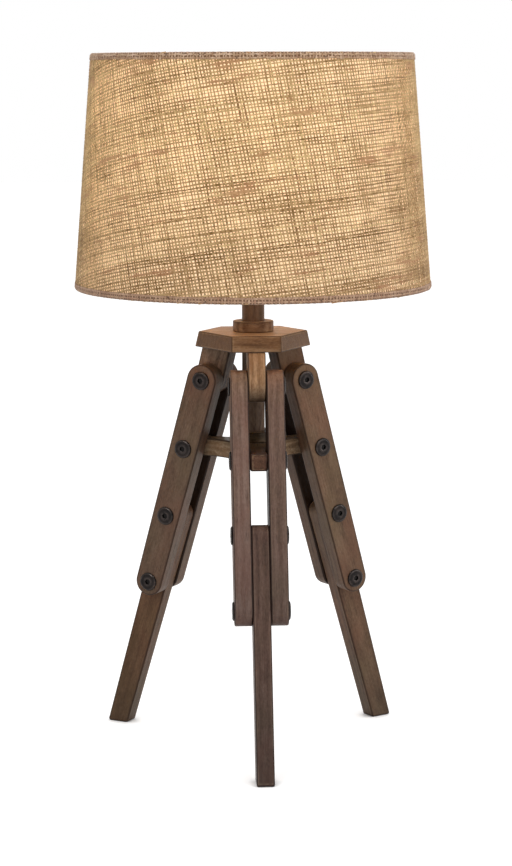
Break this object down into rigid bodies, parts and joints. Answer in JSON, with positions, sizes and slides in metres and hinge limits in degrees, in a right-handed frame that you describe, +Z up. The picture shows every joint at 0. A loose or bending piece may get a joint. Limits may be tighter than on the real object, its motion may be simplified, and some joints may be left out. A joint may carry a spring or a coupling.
{
  "type": "tripod table lamp",
  "caption": "Table lamp on a bolted wooden tripod, with a turned post, a harp, a switched socket with a bulb, and a round tapered burlap shade.",
  "frame": {"origin": "on the floor under the middle of the shade, at the centre of the box's bottom face", "axes": "+Z up along the post; the front leg points along -Y and the other two along +Y to the left and right; +X to the right as seen from the front"},
  "size_m": [0.3544, 0.3544, 0.692],
  "materials": {
    "dark_wood": "dark walnut-brown stain with a satin coat and pale worn edges",
    "golden_wood": "thinner golden brown stain with a satin coat",
    "dowel_wood": "plain",
    "blackened_steel": "blackened, slightly worn",
    "zinc_steel": "zinc plated",
    "aged_brass": "aged, satin",
    "bright_brass": "plain",
    "white_wire": "white enamel",
    "fibre_card": "matt",
    "porcelain": "glazed",
    "black_plastic": "satin",
    "frosted_glass": "frosted white, lit",
    "bulb_metal": "plain",
    "shade_liner": "smooth white laminate, lit from inside",
    "burlap": "coarse open plain weave with slubs",
    "trim_fabric": "folded self-fabric trim"
  },
  "bodies": {
    "lamp": {"cap_plate": "golden_wood", "cap_dowels": "dowel_wood", "top_collar": "golden_wood", "lower_collar": "golden_wood", "post": "dark_wood", "spreader": "dark_wood", "tongue_front": "golden_wood", "tongue_left": "dark_wood", "tongue_right": "dark_wood", "cheek_front_left": "dark_wood", "cheek_front_right": "dark_wood", "cheek_left_near": "dark_wood", "cheek_left_far": "dark_wood", "cheek_right_near": "dark_wood", "cheek_right_far": "dark_wood", "lower_leg_front": "dark_wood", "lower_leg_left": "dark_wood", "lower_leg_right": "dark_wood", "bolts_front": "blackened_steel", "bolts_left": "blackened_steel", "bolts_right": "blackened_steel", "cap_nuts_front": "blackened_steel", "cap_nuts_left": "blackened_steel", "cap_nuts_right": "blackened_steel", "lamp_pipe": "zinc_steel", "pipe_washer": "zinc_steel", "pipe_nut": "zinc_steel", "cord_bushing": "black_plastic", "check_ring": "aged_brass", "harp_saddle": "aged_brass", "harp": "aged_brass", "harp_stud": "aged_brass", "socket_cap": "aged_brass", "cap_insulator": "fibre_card", "socket_shell": "aged_brass", "shell_insulator": "fibre_card", "socket_body": "porcelain", "screw_shell": "bright_brass", "center_contact": "bright_brass", "terminal_screws": "zinc_steel", "bulb_glass": "frosted_glass", "bulb_base": "bulb_metal", "bulb_tip": "bulb_metal"},
    "switch": {"switch_spindle": "aged_brass", "switch_knob": "black_plastic"},
    "shade": {"shade_spider": "white_wire", "shade_bottom_ring": "white_wire", "shade_liner": "shade_liner", "shade_cover": "burlap", "shade_top_trim": "trim_fabric", "shade_bottom_trim": "trim_fabric"},
    "finial": {"finial": "aged_brass"},
    "sleeve_left": {"harp_sleeve_left": "aged_brass"},
    "sleeve_right": {"harp_sleeve_right": "aged_brass"}
  },
  "joints": [
    {"name": "switch_turn", "type": "hinge", "parent": "lamp", "child": "switch", "pos_m": [0, -0.02, 0.51], "axis": [0, -1, 0], "continuous": true},
    {"name": "shade_turn", "type": "hinge", "parent": "lamp", "child": "shade", "pos_m": [0, 0, 0.668], "axis": [0, 0, 1], "continuous": true},
    {"name": "finial_turn", "type": "hinge", "parent": "lamp", "child": "finial", "pos_m": [0, 0, 0.668], "axis": [0, 0, 1], "continuous": true},
    {"name": "sleeve_left_lift", "type": "slide", "parent": "lamp", "child": "sleeve_left", "axis": [0, 0, 1], "range_m": [0, 0.05]},
    {"name": "sleeve_right_lift", "type": "slide", "parent": "lamp", "child": "sleeve_right", "axis": [0, 0, 1], "range_m": [0, 0.05]}
  ]
}
